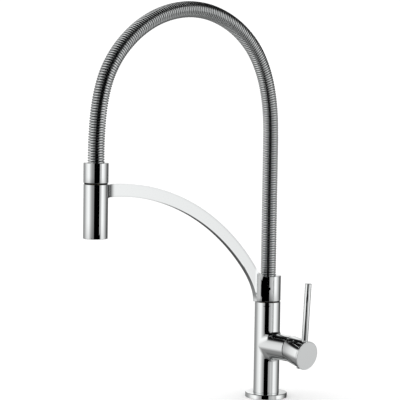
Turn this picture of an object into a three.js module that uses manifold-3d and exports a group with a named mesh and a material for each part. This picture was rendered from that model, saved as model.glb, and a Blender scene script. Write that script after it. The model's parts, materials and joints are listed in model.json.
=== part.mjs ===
// Pull down kitchen faucet with a sprung hose, a curved support arm and a tilting side handle.
// Millimetres, +Z up. The origin is on the deck, on the axis of the column.
// The spout points along -Y and the handle along +X.
import * as THREE from 'three';
import { mergeVertices } from 'three/addons/utils/BufferGeometryUtils.js';
import Module from 'manifold-3d';

const wasm = await Module();
wasm.setup();

// ---- driving dimensions -------------------------------------------------------------------

const FIT = 0.3;                 // gap between pieces that sit against each other
const RUN = 0.4;                 // gap between surfaces that move past each other
const BITE = 1;                  // how far a cutting tool runs past the face it cuts

// column, side branch and deck flange
const BODY_R = 16;
const BODY_BORE_R = 12.6;
const COLUMN_TOP = 119.6;
const BRANCH_Z = 65.2;
const BRANCH_END = 42.5;         // from the column axis to the edge of the rounded end
const BRANCH_BORE_R = 12.9;
const SEAT_X = 14;               // the step that the cartridge seats on
const SEAT_HOLE_R = 9;
const FLANGE_R = 26.2;
const FLANGE_H = 5.4;
const FLANGE_EDGE = 1.2;
const GASKET_R = 23.6;
const GASKET_WIDTH = 3.2;
const GASKET_H = 2;

// fixing under the deck
const DECK = 28;
const SHANK_BORE_R = 9.5;
const SHANK_BOTTOM = -52;
const SHANK_TOP = 22;
const WASHER_R = 24;
const WASHER_H = 2.6;
const CLAMP_H = 2.4;
const NUT_FLATS = 34;
const NUT_H = 9;

// cartridge and handle
const PIVOT_X = 33;              // the ball pivot, from the column axis
const REST_TILT = 7.5;           // degrees that the closed handle droops
const CARTRIDGE_FRONT = 26.5;
const SEAL_H = 1.7;
const NUT_BORE_R = 10.4;
const ROTOR_R = 9.8;
const ROTOR_H = 1.8;
const EAR_X = 3;                 // the ears reach this far past the pivot
const EAR_HEIGHT = 7;
const EAR_THICK = 2.5;
const STEM_R = 3.2;
const STEM_BACK = 2.4;           // behind the pivot
const STEM_FRONT = 31;
const PIN_R = 1.5;
const KNOB_FACE = 37.6;          // from the pivot to the flat end of the handle
const KNOB_REAR_R = 16.3;
const KNOB_FRONT_R = 17.9;
const KNOB_CHAMFER = 0.6;
const KNOB_CAVITY_R = 13.2;
const KNOB_CAVITY_END = 31.5;
const KNOB_BOSS_R = 6.5;
const CAP_R = 16.6;
const CAP_H = 1;
const LEVER_R = 3.9;
const LEVER_AT = 32.1;           // along the handle, from the pivot
const LEVER_BOTTOM = 11.2;       // from the handle axis
const LEVER_TOP = 88.5;
const LEVER_SET_BACK = 4;        // degrees that the lever leans back from square
const SET_SCREW_AT = 26;
const SET_SCREW_R = 2.6;
const SET_SCREW_PROUD = 1.7;

// swivel and collar
const RING_H = 1.1;
const RING_INSET = 0.6;
const COLLAR_H = 31.1;
const COLLAR_ROOF = 5;
const EDGE = 0.5;                // small chamfer on turned edges
const POST_R = 11.9;
const POST_PLAY = 0.5;           // gap round the post, in the collar
const POST_BORE_R = 6;
const POST_FOOT = 22;            // length screwed into the column
const O_RING_R = 1.1;
const O_RINGS_ABOVE = [6, 21.5]; // heights above the column top
const RETAINER_ABOVE = 13.8;
const RETAINER_GROOVE = 4.8;
const GRUB_R = 2;
const HOSE_HOLE_R = 10.05;

// support arm
const ARM_THICK = 6;
const ARM_CENTRE = [251.5, -12]; // reach and height of the centre of both edge arcs
const ARM_OUTER_R = 287.6;
const ARM_WIDTH = 14.8;
const ROOT_BLEND = [42, 14];     // reach where the root starts to thicken, and how softly
const ROOT_REACH = 22.3;
const ROOT_FLARE = 25.2;         // distance from an axis where the arm starts to widen
const DOCK_FLARE = 24.7;
const STUD_R = 1.5;
const STUDS_ABOVE = [7, 19];
const STUD_REACH = 21;
const MAGNET_R = 3.4;
const MAGNET_H = 2.4;

// hose: reach and height of the points that its centre line runs through, between its ends
const HEAD_REACH = 276.2;        // from the column axis to the axis of the spray head
const HOSE_SET_IN = 3;           // depth of each end of the hose in the cup that holds it
const HOSE_ARCH = [
  [0, 200], [0, 250], [0, 300], [0.3, 335], [2.6, 362], [8.5, 389],
  [17.5, 411.5], [29.5, 430.5], [44.5, 446], [62.5, 459], [84, 469.3], [109, 476.3],
  [137, 478.3], [165, 474.6], [191.5, 466], [214.5, 453.5], [233.5, 438.5], [249, 421.5],
  [261, 402], [268.5, 381.5], [273.3, 358], [275.6, 333], [276.2, 315],
];
const SHEATH_R = 9.7;
const SHEATH_BORE_R = 7.1;
const HOSE_R = 6.2;
const HOSE_BORE_R = 4.4;
const HOSE_SIDES = 10;
const HOSE_STEPS = 54;
const FERRULE_R = 9.6;
const FERRULE_H = 2.1;
const SPIGOT_R = 3.6;
const SPIGOT_L = 9;
const FERRULE_BORE_R = 2.8;

// spray head
const HEAD_R = 14.05;
const HEAD_BOTTOM = 214.2;
const HEAD_TOP = 276.1;
const HEAD_BORE_R = 12.3;
const HEAD_ROOF = 3.6;
const SLEEVE_R = 14.3;
const SLEEVE_TOP = 300.5;
const SLEEVE_BORE_R = 11.8;
const SLEEVE_ROOF = 4;
const HEAD_RING_H = 1.1;
const NIPPLE_R = 7.6;
const NIPPLE_FOOT = 259;
const NIPPLE_FLANGE_R = 10;
const NIPPLE_FLANGE_H = 2;
const THROAT_NUT_H = 8;
const VALVE_R = 9.4;
const VALVE_H = 12;
const AERATOR_R = 12;
const AERATOR_WALL = 1.6;
const AERATOR_H = 20;
const NOZZLE_RECESS = 1.4;
const NOZZLE_PLATE_H = 2.6;
const NOZZLE_HOLE_R = 4.6;
const NOZZLE_COUNT = 12;
const NOZZLE_CIRCLE_R = 8.6;
const NOZZLE_R = 0.9;
const NOZZLE_H = 0.9;

// facets round a turned piece
const LARGE = 40;
const SMALL = 24;
const TINY = 12;

// ---- places worked out from the dimensions -------------------------------------------------

const COLLAR_BOTTOM = COLUMN_TOP + RING_H + 2 * FIT;
const COLLAR_TOP = COLLAR_BOTTOM + COLLAR_H;
const COLLAR_BORE_R = POST_R + POST_PLAY;
const HOSE_START_Z = COLLAR_TOP - HOSE_SET_IN;
const HOSE_END_Z = SLEEVE_TOP - HOSE_SET_IN;
const HOSE_ROUTE = [[0, HOSE_START_Z], ...HOSE_ARCH, [HEAD_REACH, HOSE_END_Z]];
const POST_TOP = HOSE_START_Z - 2 * FIT - FERRULE_H;
const SHANK_R = BODY_BORE_R - FIT;
const DOME_R = Math.hypot(BRANCH_END - PIVOT_X, BODY_R);
const KNOB_HOLLOW_R = DOME_R + RUN;
const KNOB_REAR = Math.sqrt(KNOB_HOLLOW_R ** 2 - KNOB_REAR_R ** 2);
const CAP_FLOOR = KNOB_FACE - CAP_H - FIT;
const ROTOR_BACK = CARTRIDGE_FRONT + FIT - PIVOT_X;
const DOCK_R = Math.max(HEAD_R, SLEEVE_R) + RUN;
const AERATOR_BOTTOM = HEAD_BOTTOM + NOZZLE_RECESS + NOZZLE_PLATE_H + FIT;

// ---- materials ------------------------------------------------------------------------------

const metal = (color, roughness) =>
  new THREE.MeshStandardMaterial({ color, roughness, metalness: 1 });
const plain = (color, roughness) =>
  new THREE.MeshStandardMaterial({ color, roughness, metalness: 0 });
const chrome = () => metal(0xdfe2e4, 0.06);
const brass = () => metal(0xb59a5a, 0.35);
const steel = () => metal(0xb4b6b8, 0.3);
const rubber = () => plain(0x151515, 0.8);
const darkPlastic = () => plain(0x1c1d1f, 0.45);
const palePlastic = () => plain(0xd8d9d6, 0.5);

// ---- solids ---------------------------------------------------------------------------------

// One closed, outward facing mesh with its vertices shared and its collapsed faces dropped.
function sealed(geometry) {
  geometry.deleteAttribute('normal');
  geometry.deleteAttribute('uv');
  const merged = mergeVertices(geometry, 1e-4);
  const points = merged.getAttribute('position');
  const source = merged.index.array;
  const faces = [];
  let volume = 0;
  const a = new THREE.Vector3();
  const b = new THREE.Vector3();
  const c = new THREE.Vector3();
  for (let i = 0; i < source.length; i += 3) {
    const [p, q, r] = [source[i], source[i + 1], source[i + 2]];
    if (p === q || q === r || r === p) continue;
    faces.push([p, q, r]);
    a.fromBufferAttribute(points, p);
    b.fromBufferAttribute(points, q);
    c.fromBufferAttribute(points, r);
    volume += a.dot(b.cross(c));
  }
  const facing = volume < 0 ? faces.map(([p, q, r]) => [p, r, q]) : faces;
  merged.setIndex(facing.flat());
  return merged;
}

function toSolid(geometry) {
  const closed = sealed(geometry);
  const mesh = new wasm.Mesh({
    numProp: 3,
    vertProperties: new Float32Array(closed.getAttribute('position').array),
    triVerts: new Uint32Array(closed.index.array),
  });
  return new wasm.Manifold(mesh);
}

function toGeometry(solid) {
  const mesh = solid.getMesh();
  const geometry = new THREE.BufferGeometry();
  geometry.setAttribute('position', new THREE.BufferAttribute(mesh.vertProperties, 3));
  geometry.setIndex(new THREE.BufferAttribute(mesh.triVerts, 1));
  return geometry;
}

// A solid turned about Z from [radius, height] points; a loop that is off the axis is closed.
function turned(profile, facets = LARGE) {
  const points = profile.map(([radius, height]) => new THREE.Vector2(radius, height));
  const [first, last] = [profile[0], profile.at(-1)];
  if (first[0] > 0 || last[0] > 0) points.push(points[0].clone());
  return new THREE.LatheGeometry(points, facets).rotateX(Math.PI / 2);
}

const alongX = (geometry) => geometry.rotateY(Math.PI / 2);
const alongMinusY = (geometry) => geometry.rotateX(Math.PI / 2);
const rod = (radius, from, to, facets = SMALL) =>
  turned([[0, from], [radius, from], [radius, to], [0, to]], facets);
const tube = (outer, inner, from, to, facets = LARGE) =>
  turned([[inner, from], [outer, from], [outer, to], [inner, to]], facets);

// A ring of round section about Z.
function roundRing(centreR, sectionR, height, facets = LARGE) {
  const profile = [];
  for (let i = 0; i < 8; i += 1) {
    const angle = (i / 8) * 2 * Math.PI;
    profile.push([centreR + sectionR * Math.cos(angle), height + sectionR * Math.sin(angle)]);
  }
  return turned(profile, facets);
}

// [radius, height] points on a sphere about the origin, between two radii.
function sphereArc(sphereR, fromR, toR, steps) {
  const [start, end] = [Math.asin(fromR / sphereR), Math.asin(toR / sphereR)];
  const points = [];
  for (let i = 0; i <= steps; i += 1) {
    const angle = start + ((end - start) * i) / steps;
    points.push([sphereR * Math.sin(angle), sphereR * Math.cos(angle)]);
  }
  return points;
}

function part(name, geometry, material) {
  const mesh = new THREE.Mesh(geometry, material);
  mesh.name = name;
  return mesh;
}

const cut = (name, solid, material) => part(name, toGeometry(solid), material);
const turnedPart = (name, geometry, material) => part(name, sealed(geometry), material);

// ---- deck flange and fixing -----------------------------------------------------------------

function deckFlange() {
  const bore = BODY_R + FIT;
  const grooveIn = GASKET_R - GASKET_WIDTH - FIT;
  const grooveOut = GASKET_R + FIT;
  const grooveTop = GASKET_H + FIT;
  const profile = [
    [bore, 0], [grooveIn, 0], [grooveIn, grooveTop], [grooveOut, grooveTop], [grooveOut, 0],
    [FLANGE_R, 0], [FLANGE_R, FLANGE_H - FLANGE_EDGE], [FLANGE_R - FLANGE_EDGE, FLANGE_H],
    [bore, FLANGE_H],
  ];
  return turnedPart('base_flange', turned(profile, 48), chrome());
}

function deckFixing() {
  const washerTop = -DECK - FIT;
  const clampTop = washerTop - WASHER_H - FIT;
  const nutTop = clampTop - CLAMP_H - FIT;
  const hole = BODY_BORE_R;
  const hexagon = turned(
    [[0, nutTop - NUT_H], [NUT_FLATS / Math.sqrt(3), nutTop - NUT_H],
      [NUT_FLATS / Math.sqrt(3), nutTop], [0, nutTop]], 6);
  const nut = toSolid(hexagon).subtract(
    toSolid(rod(hole, nutTop - NUT_H - BITE, nutTop + BITE)));
  return [
    turnedPart('base_gasket', tube(GASKET_R, GASKET_R - GASKET_WIDTH, 0, GASKET_H), rubber()),
    turnedPart('mounting_shank', tube(SHANK_R, SHANK_BORE_R, SHANK_BOTTOM, SHANK_TOP, SMALL),
      brass()),
    turnedPart('deck_washer', tube(WASHER_R, hole, washerTop - WASHER_H, washerTop, SMALL),
      rubber()),
    turnedPart('clamp_plate', tube(WASHER_R, hole, clampTop - CLAMP_H, clampTop, SMALL),
      steel()),
    cut('shank_nut', nut, brass()),
  ];
}

// ---- column and side branch -----------------------------------------------------------------

function tapBody() {
  const onPivot = ([radius, ahead]) => [radius, PIVOT_X + ahead];
  const dome = sphereArc(DOME_R, BODY_R, BRANCH_BORE_R, 4).map(onPivot);
  const front = dome.at(-1)[1];
  const branch = alongX(turned([[0, 0], [BODY_R, 0], ...dome, [0, front]], LARGE));
  const bore = alongX(turned([
    [0, 0], [SEAT_HOLE_R, 0], [SEAT_HOLE_R, SEAT_X], [BRANCH_BORE_R, SEAT_X],
    [BRANCH_BORE_R, front + BITE], [0, front + BITE]], SMALL));
  const column = toSolid(rod(BODY_R, FIT, COLUMN_TOP, LARGE));
  const columnBore = toSolid(rod(BODY_BORE_R, -BITE, COLUMN_TOP + BITE, SMALL));
  const solid = column
    .add(toSolid(branch.translate(0, 0, BRANCH_Z)))
    .subtract(columnBore)
    .subtract(toSolid(bore.translate(0, 0, BRANCH_Z)));
  return cut('tap_body', solid, chrome());
}

// ---- swivel post, seals and bearing ring ----------------------------------------------------

function swivelPost() {
  const floor = POST_R - 2 * O_RING_R;
  const half = O_RING_R + FIT;
  const groove = (height, halfHeight, depthR) => [
    [POST_R, height - halfHeight], [depthR, height - halfHeight],
    [depthR, height + halfHeight], [POST_R, height + halfHeight]];
  const [lower, upper] = O_RINGS_ABOVE.map((above) => COLUMN_TOP + above);
  const profile = [
    [POST_BORE_R, COLUMN_TOP - POST_FOOT], [SHANK_R, COLUMN_TOP - POST_FOOT],
    [SHANK_R, COLUMN_TOP - FIT], [POST_R, COLUMN_TOP - FIT],
    ...groove(lower, half, floor),
    ...groove(COLUMN_TOP + RETAINER_ABOVE, RETAINER_GROOVE / 2, floor),
    ...groove(upper, half, floor),
    [POST_R, POST_TOP], [POST_BORE_R, POST_TOP],
  ];
  const seal = (name, height) =>
    turnedPart(name, roundRing(floor + FIT + O_RING_R, O_RING_R - FIT / 2, height, SMALL),
      rubber());
  const ringBottom = COLUMN_TOP + FIT;
  return [
    turnedPart('swivel_post', turned(profile, LARGE), brass()),
    seal('post_seal_lower', lower),
    seal('post_seal_upper', upper),
    turnedPart('seam_ring', tube(BODY_R - RING_INSET, POST_R + FIT, ringBottom,
      ringBottom + RING_H), darkPlastic()),
  ];
}

// ---- cartridge ------------------------------------------------------------------------------

// Cartridge pieces are turned about X, with the pivot at the origin.
function cartridge() {
  const at = (x) => x - PIVOT_X;
  const bodyR = BRANCH_BORE_R - 0.3;
  const sealFront = SEAT_X + FIT + SEAL_H;
  const seal = tube(bodyR, SEAT_HOLE_R + RUN, at(SEAT_X + FIT), at(sealFront), SMALL);
  const body = rod(bodyR, at(sealFront + FIT), at(CARTRIDGE_FRONT));
  const nose = sphereArc(DOME_R, bodyR, NUT_BORE_R, 3);
  const nut = turned([[NUT_BORE_R, at(CARTRIDGE_FRONT + FIT)], [bodyR, at(CARTRIDGE_FRONT + FIT)],
    ...nose], SMALL);
  return [
    turnedPart('cartridge_seal', alongX(seal), rubber()),
    turnedPart('cartridge_body', alongX(body), palePlastic()),
    turnedPart('cartridge_nut', alongX(nut), brass()),
  ];
}

// The disc that turns in the cartridge, with two ears that carry the tilt pin.
function rotor() {
  const earLength = EAR_X - ROTOR_BACK;
  const earY = STEM_R + RUN + EAR_THICK / 2;
  let solid = toSolid(alongX(rod(ROTOR_R, ROTOR_BACK, ROTOR_BACK + ROTOR_H)));
  for (const side of [-1, 1]) {
    const ear = new THREE.BoxGeometry(earLength, EAR_THICK, EAR_HEIGHT);
    ear.translate(ROTOR_BACK + earLength / 2, side * earY, 0);
    solid = solid.add(toSolid(ear));
  }
  const pinHalf = earY + EAR_THICK / 2;
  const hole = alongMinusY(rod(PIN_R + FIT, -pinHalf - BITE, pinHalf + BITE, TINY));
  return [
    cut('cartridge_rotor', solid.subtract(toSolid(hole)), steel()),
    turnedPart('pivot_pin', alongMinusY(rod(PIN_R, -pinHalf, pinHalf, TINY)), steel()),
  ];
}

// ---- handle ---------------------------------------------------------------------------------

// The lever's own axis, for a piece turned about Z.
const onLever = (geometry) => geometry
  .rotateY(THREE.MathUtils.degToRad(-LEVER_SET_BACK))
  .translate(LEVER_AT, 0, 0);

function knob() {
  const hollow = sphereArc(KNOB_HOLLOW_R, KNOB_CAVITY_R, KNOB_REAR_R, 5);
  const barrel = turned([
    ...hollow, [KNOB_FRONT_R, KNOB_FACE - KNOB_CHAMFER], [KNOB_FRONT_R - KNOB_CHAMFER, KNOB_FACE],
    [CAP_R + FIT, KNOB_FACE], [CAP_R + FIT, CAP_FLOOR],
    [STEM_R + FIT, CAP_FLOOR], [STEM_R + FIT, KNOB_HOLLOW_R],
    [KNOB_BOSS_R, KNOB_HOLLOW_R], [KNOB_BOSS_R, KNOB_CAVITY_END],
    [KNOB_CAVITY_R, KNOB_CAVITY_END]], 48);
  const leverHole = onLever(rod(LEVER_R + FIT / 2, LEVER_BOTTOM - FIT, KNOB_FRONT_R + BITE));
  const screwHole = rod(SET_SCREW_R + FIT, -KNOB_FRONT_R - BITE, 0, TINY)
    .translate(SET_SCREW_AT, 0, 0);
  const solid = toSolid(alongX(barrel))
    .subtract(toSolid(leverHole))
    .subtract(toSolid(screwHole));
  return cut('handle_knob', solid, chrome());
}

function handle() {
  const pinHole = alongMinusY(rod(PIN_R + FIT, -STEM_R - BITE, STEM_R + BITE, TINY));
  const stem = toSolid(alongX(rod(STEM_R, -STEM_BACK, STEM_FRONT))).subtract(toSolid(pinHole));
  const wallAtScrew = KNOB_REAR_R
    + ((KNOB_FRONT_R - KNOB_REAR_R) * (SET_SCREW_AT - KNOB_REAR)) / (KNOB_FACE - KNOB_REAR);
  const screw = rod(SET_SCREW_R, -wallAtScrew - SET_SCREW_PROUD, -STEM_R - FIT, TINY)
    .translate(SET_SCREW_AT, 0, 0);
  const tip = 0.8;
  const lever = onLever(turned([[0, LEVER_BOTTOM], [LEVER_R, LEVER_BOTTOM],
    [LEVER_R, LEVER_TOP - tip], [LEVER_R - tip, LEVER_TOP], [0, LEVER_TOP]], SMALL));
  return [
    cut('handle_stem', stem, steel()),
    knob(),
    turnedPart('handle_cap', alongX(rod(CAP_R, CAP_FLOOR + FIT, KNOB_FACE, LARGE)), chrome()),
    turnedPart('lever_pin', lever, chrome()),
    turnedPart('handle_set_screw', screw, steel()),
  ];
}

// ---- spout collar ---------------------------------------------------------------------------

function spoutCollar() {
  const roof = COLLAR_TOP - COLLAR_ROOF;
  const shell = turned([
    [COLLAR_BORE_R, COLLAR_BOTTOM], [BODY_R, COLLAR_BOTTOM], [BODY_R, COLLAR_TOP - EDGE],
    [BODY_R - EDGE, COLLAR_TOP], [HOSE_HOLE_R, COLLAR_TOP], [HOSE_HOLE_R, roof],
    [COLLAR_BORE_R, roof]], 48);
  let solid = toSolid(shell);
  for (const above of STUDS_ABOVE) {
    const hole = alongMinusY(rod(STUD_R + FIT, COLLAR_BORE_R - BITE, BODY_R + BITE, TINY));
    solid = solid.subtract(toSolid(hole.translate(0, 0, COLLAR_BOTTOM + above)));
  }
  const screwHole = alongMinusY(rod(GRUB_R + FIT, -BODY_R - BITE, -COLLAR_BORE_R + BITE, TINY));
  const height = COLUMN_TOP + RETAINER_ABOVE;
  solid = solid.subtract(toSolid(screwHole.translate(0, 0, height)));
  const groove = POST_R - 2 * O_RING_R;
  const screw = alongMinusY(rod(GRUB_R, -BODY_R + RUN, -groove - RUN, TINY));
  return [
    cut('spout_collar', solid, chrome()),
    turnedPart('collar_grub_screw', screw.translate(0, 0, height), steel()),
  ];
}

// ---- support arm ----------------------------------------------------------------------------

const arcHeight = (radius, reach) =>
  ARM_CENTRE[1] + Math.sqrt(radius ** 2 - (reach - ARM_CENTRE[0]) ** 2);

// Side view of the arm in reach and height, made solid to a given thickness about x = 0.
function armSide(thickness) {
  const innerR = ARM_OUTER_R - ARM_WIDTH;
  const tipReach = HEAD_REACH - HEAD_R / 2;
  const rootReach = BODY_R / 2;
  const angleAt = (radius, reach) => Math.acos((reach - ARM_CENTRE[0]) / radius);
  const shape = new THREE.Shape();
  const [blendReach, softness] = ROOT_BLEND;
  const blendHeight = arcHeight(innerR, blendReach);
  const lean = [(blendHeight - ARM_CENTRE[1]) / innerR, (ARM_CENTRE[0] - blendReach) / innerR];
  shape.moveTo(rootReach, COLLAR_BOTTOM);
  shape.lineTo(ROOT_REACH, COLLAR_BOTTOM);
  shape.bezierCurveTo(
    ROOT_REACH, COLLAR_BOTTOM + softness,
    blendReach - softness * lean[0], blendHeight - softness * lean[1],
    blendReach, blendHeight);
  shape.absarc(...ARM_CENTRE, innerR, angleAt(innerR, blendReach), angleAt(innerR, tipReach),
    true);
  shape.absarc(...ARM_CENTRE, ARM_OUTER_R, angleAt(ARM_OUTER_R, tipReach),
    Math.PI - Math.asin((COLLAR_TOP - ARM_CENTRE[1]) / ARM_OUTER_R), false);
  shape.lineTo(rootReach, COLLAR_TOP);
  const plate = new THREE.ExtrudeGeometry(shape,
    { depth: thickness, bevelEnabled: false, curveSegments: 26 });
  const turn = new THREE.Matrix4().makeBasis(
    new THREE.Vector3(0, -1, 0), new THREE.Vector3(0, 0, 1), new THREE.Vector3(-1, 0, 0));
  return toSolid(plate.translate(0, 0, -thickness / 2).applyMatrix4(turn));
}

// Plan of the widened end of the arm: concave on both sides, from the plate's faces to a
// tangent on a cylinder of radius cylinderR about the origin. The plate comes from +Y.
function flare(cylinderR, start, from, to) {
  const half = ARM_THICK / 2;
  const filletR = (half ** 2 + start ** 2 - cylinderR ** 2) / (2 * (cylinderR - half));
  const sweep = Math.atan2(start, half + filletR);
  const shape = new THREE.Shape();
  shape.moveTo(0, 0);
  shape.absarc(half + filletR, start, filletR, Math.PI + sweep, Math.PI, true);
  shape.absarc(-half - filletR, start, filletR, 0, -sweep, true);
  const depth = to - from;
  const prism = new THREE.ExtrudeGeometry(shape, { depth, bevelEnabled: false, curveSegments: 10 });
  return prism.translate(0, 0, from);
}

function supportArm() {
  const wide = armSide(2 * BODY_R);
  const tipTop = ARM_CENTRE[1] + ARM_OUTER_R;
  const tipBottom = arcHeight(ARM_OUTER_R - ARM_WIDTH, HEAD_REACH) - BITE;
  const root = flare(BODY_R, ROOT_FLARE, COLLAR_BOTTOM - BITE, COLLAR_TOP + BITE);
  const dock = flare(DOCK_R, DOCK_FLARE, tipBottom, tipTop);
  const cylinder = (radius, reach) =>
    toSolid(rod(radius, COLLAR_BOTTOM - BITE, tipTop + BITE, 64).translate(0, -reach, 0));
  const rootFlare = toSolid(root.rotateZ(Math.PI)).intersect(wide);
  const dockFlare = toSolid(dock.translate(0, -HEAD_REACH, 0)).intersect(wide);
  let solid = armSide(ARM_THICK)
    .add(rootFlare)
    .add(dockFlare)
    .subtract(cylinder(BODY_R + FIT, 0))
    .subtract(cylinder(DOCK_R, HEAD_REACH));
  const studs = [];
  for (const [index, above] of STUDS_ABOVE.entries()) {
    const height = COLLAR_BOTTOM + above;
    const hole = alongMinusY(rod(STUD_R + FIT, BODY_R, STUD_REACH + FIT, TINY));
    solid = solid.subtract(toSolid(hole.translate(0, 0, height)));
    const stud = alongMinusY(rod(STUD_R, COLLAR_BORE_R + FIT, STUD_REACH, TINY));
    studs.push(turnedPart(`arm_stud_${index + 1}`, stud.translate(0, 0, height), steel()));
  }
  const dockFace = HEAD_REACH - DOCK_R;
  const magnetZ = (arcHeight(ARM_OUTER_R, dockFace) + arcHeight(ARM_OUTER_R - ARM_WIDTH,
    dockFace)) / 2;
  const magnetEnd = dockFace - FIT;
  const pocket = alongMinusY(rod(MAGNET_R + FIT, magnetEnd - MAGNET_H - FIT, HEAD_REACH, SMALL));
  solid = solid.subtract(toSolid(pocket.translate(0, 0, magnetZ)));
  const magnet = alongMinusY(rod(MAGNET_R, magnetEnd - MAGNET_H, magnetEnd, SMALL));
  return [
    cut('support_arm', solid, chrome()),
    ...studs,
    turnedPart('dock_magnet', magnet.translate(0, 0, magnetZ), darkPlastic()),
  ];
}

// ---- hose -----------------------------------------------------------------------------------

const polygon = (radius) => Array.from({ length: HOSE_SIDES }, (_, side) => {
  const angle = (side / HOSE_SIDES) * 2 * Math.PI;
  return new THREE.Vector2(radius * Math.cos(angle), radius * Math.sin(angle));
});

function hoseAlongRoute(name, outerR, innerR, material) {
  const points = HOSE_ROUTE.map(([reach, height]) => new THREE.Vector3(0, -reach, height));
  const route = new THREE.CatmullRomCurve3(points, false, 'centripetal');
  const section = new THREE.Shape(polygon(outerR));
  section.holes.push(new THREE.Path(polygon(innerR)));
  const hose = new THREE.ExtrudeGeometry(section, { steps: HOSE_STEPS, extrudePath: route });
  return part(name, sealed(hose), material);
}

// A flange that an end of the hose stands on, with a spigot up into the hose and a tail below.
function ferrule(hoseZ, tail) {
  const face = hoseZ - FIT;
  const back = face - FERRULE_H;
  const profile = [
    [FERRULE_BORE_R, face + SPIGOT_L], [SPIGOT_R, face + SPIGOT_L], [SPIGOT_R, face],
    [FERRULE_R, face], [FERRULE_R, back], ...tail(back)];
  return turned(profile, SMALL);
}

function hoseAndFerrule() {
  const root = ferrule(HOSE_START_Z, (back) => [[FERRULE_BORE_R, back]]);
  return [
    hoseAlongRoute('hose_sheath', SHEATH_R, SHEATH_BORE_R, chrome()),
    hoseAlongRoute('inner_hose', HOSE_R, HOSE_BORE_R, rubber()),
    turnedPart('hose_root_ferrule', root, brass()),
  ];
}

// ---- end of the hose ------------------------------------------------------------------------

// Turned about the spray head's own axis.
function hoseEnd() {
  const bottom = HEAD_TOP + HEAD_RING_H + 2 * FIT;
  const roof = SLEEVE_TOP - SLEEVE_ROOF;
  const sleeve = turned([
    [SLEEVE_BORE_R, bottom], [SLEEVE_R, bottom], [SLEEVE_R, SLEEVE_TOP - EDGE],
    [SLEEVE_R - EDGE, SLEEVE_TOP], [HOSE_HOLE_R, SLEEVE_TOP], [HOSE_HOLE_R, roof],
    [SLEEVE_BORE_R, roof]]);
  const nipple = ferrule(HOSE_END_Z, (back) => [
    [NIPPLE_R, back], [NIPPLE_R, NIPPLE_FOOT + NIPPLE_FLANGE_H],
    [NIPPLE_FLANGE_R, NIPPLE_FOOT + NIPPLE_FLANGE_H], [NIPPLE_FLANGE_R, NIPPLE_FOOT],
    [FERRULE_BORE_R, NIPPLE_FOOT]]);
  return [
    turnedPart('head_sleeve', sleeve, chrome()),
    turnedPart('head_seam_ring', tube(HEAD_R - RING_INSET, NIPPLE_R + FIT, HEAD_TOP + FIT,
      HEAD_TOP + FIT + HEAD_RING_H), darkPlastic()),
    turnedPart('hose_end_ferrule', nipple, brass()),
  ];
}

// ---- spray head -----------------------------------------------------------------------------

function nozzlePlate() {
  const bottom = HEAD_BOTTOM + NOZZLE_RECESS;
  let solid = toSolid(tube(HEAD_BORE_R - FIT, NOZZLE_HOLE_R, bottom, bottom + NOZZLE_PLATE_H));
  for (let i = 0; i < NOZZLE_COUNT; i += 1) {
    const nozzle = turned([[0, bottom - NOZZLE_H], [NOZZLE_R / 2, bottom - NOZZLE_H],
      [NOZZLE_R, bottom + FIT], [0, bottom + FIT]], 8);
    nozzle.translate(NOZZLE_CIRCLE_R, 0, 0).rotateZ((i / NOZZLE_COUNT) * 2 * Math.PI);
    solid = solid.add(toSolid(nozzle));
  }
  return cut('nozzle_plate', solid, darkPlastic());
}

// Turned about the spray head's own axis.
function sprayHead() {
  const roof = HEAD_TOP - HEAD_ROOF;
  const shell = turned([
    [HEAD_BORE_R, HEAD_BOTTOM], [HEAD_R - EDGE, HEAD_BOTTOM], [HEAD_R, HEAD_BOTTOM + EDGE],
    [HEAD_R, HEAD_TOP], [NIPPLE_R + RUN, HEAD_TOP], [NIPPLE_R + RUN, roof],
    [HEAD_BORE_R, roof]], LARGE);
  const nutBottom = NIPPLE_FOOT + NIPPLE_FLANGE_H + RUN;
  const throatNut = tube(HEAD_BORE_R - FIT, NIPPLE_R + RUN, nutBottom, nutBottom + THROAT_NUT_H,
    SMALL);
  const sealTop = NIPPLE_FOOT - RUN;
  const valveTop = sealTop - SEAL_H - FIT;
  const aerator = turned([
    [AERATOR_R - AERATOR_WALL, AERATOR_BOTTOM], [AERATOR_R, AERATOR_BOTTOM],
    [AERATOR_R, AERATOR_BOTTOM + AERATOR_H], [NOZZLE_HOLE_R, AERATOR_BOTTOM + AERATOR_H],
    [NOZZLE_HOLE_R, AERATOR_BOTTOM + AERATOR_H - AERATOR_WALL],
    [AERATOR_R - AERATOR_WALL, AERATOR_BOTTOM + AERATOR_H - AERATOR_WALL]], SMALL);
  return [
    turnedPart('spray_shell', shell, chrome()),
    nozzlePlate(),
    turnedPart('aerator_housing', aerator, palePlastic()),
    turnedPart('throat_nut', throatNut, brass()),
    turnedPart('nipple_seal', tube(VALVE_R, FERRULE_BORE_R, sealTop - SEAL_H, sealTop, SMALL),
      rubber()),
    turnedPart('check_valve', tube(VALVE_R, FERRULE_BORE_R, valveTop - VALVE_H, valveTop, SMALL),
      palePlastic()),
  ];
}

// ---- assembly -------------------------------------------------------------------------------

function group(children, position = [0, 0, 0], tilt = 0) {
  const holder = new THREE.Group();
  holder.position.set(...position);
  holder.rotation.y = THREE.MathUtils.degToRad(tilt);
  holder.add(...children);
  return holder;
}

const pivot = [PIVOT_X, 0, BRANCH_Z];
const headAxis = [0, -HEAD_REACH, 0];

export default group([
  deckFlange(),
  ...deckFixing(),
  tapBody(),
  ...swivelPost(),
  group([...cartridge(), ...rotor()], pivot),
  group(handle(), pivot, REST_TILT),
  ...spoutCollar(),
  ...supportArm(),
  ...hoseAndFerrule(),
  group([...hoseEnd(), ...sprayHead()], headAxis),
]);
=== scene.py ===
import json
import math

import bmesh
import bpy
from mathutils import Matrix, Vector


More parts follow.
